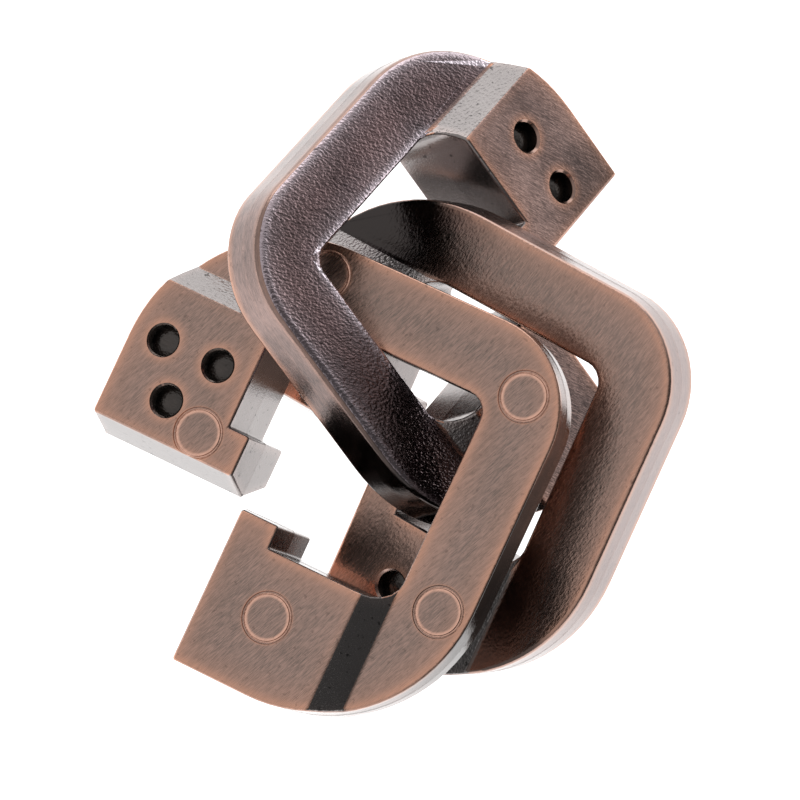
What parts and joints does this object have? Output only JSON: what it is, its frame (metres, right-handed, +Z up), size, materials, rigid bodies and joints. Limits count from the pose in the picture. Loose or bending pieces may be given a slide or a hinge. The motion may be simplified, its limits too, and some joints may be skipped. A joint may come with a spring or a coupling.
{
  "type": "metal ring disentanglement puzzle",
  "caption": "Disentanglement puzzle of cast metal links: open rounded squares with thick hooked end blocks, told apart by dimples, threaded through each other as a short chain.",
  "frame": {"origin": "centre of the footprint of the three links as they lie, at the surface they lie on", "axes": "+Z up; -Y towards the missing corner of the front link, +Y towards the dimpled block of the middle link"},
  "size_m": [0.0563, 0.0648, 0.0329],
  "materials": {
    "copper_one": "antique copper plating, brushed satin",
    "copper_two": "antique copper plating, dark cast grain",
    "copper_three": "antique copper plating, brushed satin"
  },
  "bodies": {
    "two_dot_link": {"link_two_dots": "copper_two"},
    "one_dot_link": {"link_one_dot": "copper_one"},
    "three_dot_link": {"link_three_dots": "copper_three"}
  },
  "joints": [
    {"name": "one_dot_link_turn", "type": "hinge", "parent": "two_dot_link", "child": "one_dot_link", "pos_m": [0.0042, 0.0109, 0.0146], "axis": [0.8871, -0.3276, 0.325], "range_deg": [0, 35]},
    {"name": "three_dot_link_lift", "type": "hinge", "parent": "two_dot_link", "child": "three_dot_link", "pos_m": [-0.0041, 0.0117, 0.0169], "axis": [-0.8748, -0.3487, 0.3365], "range_deg": [0, 30]}
  ]
}
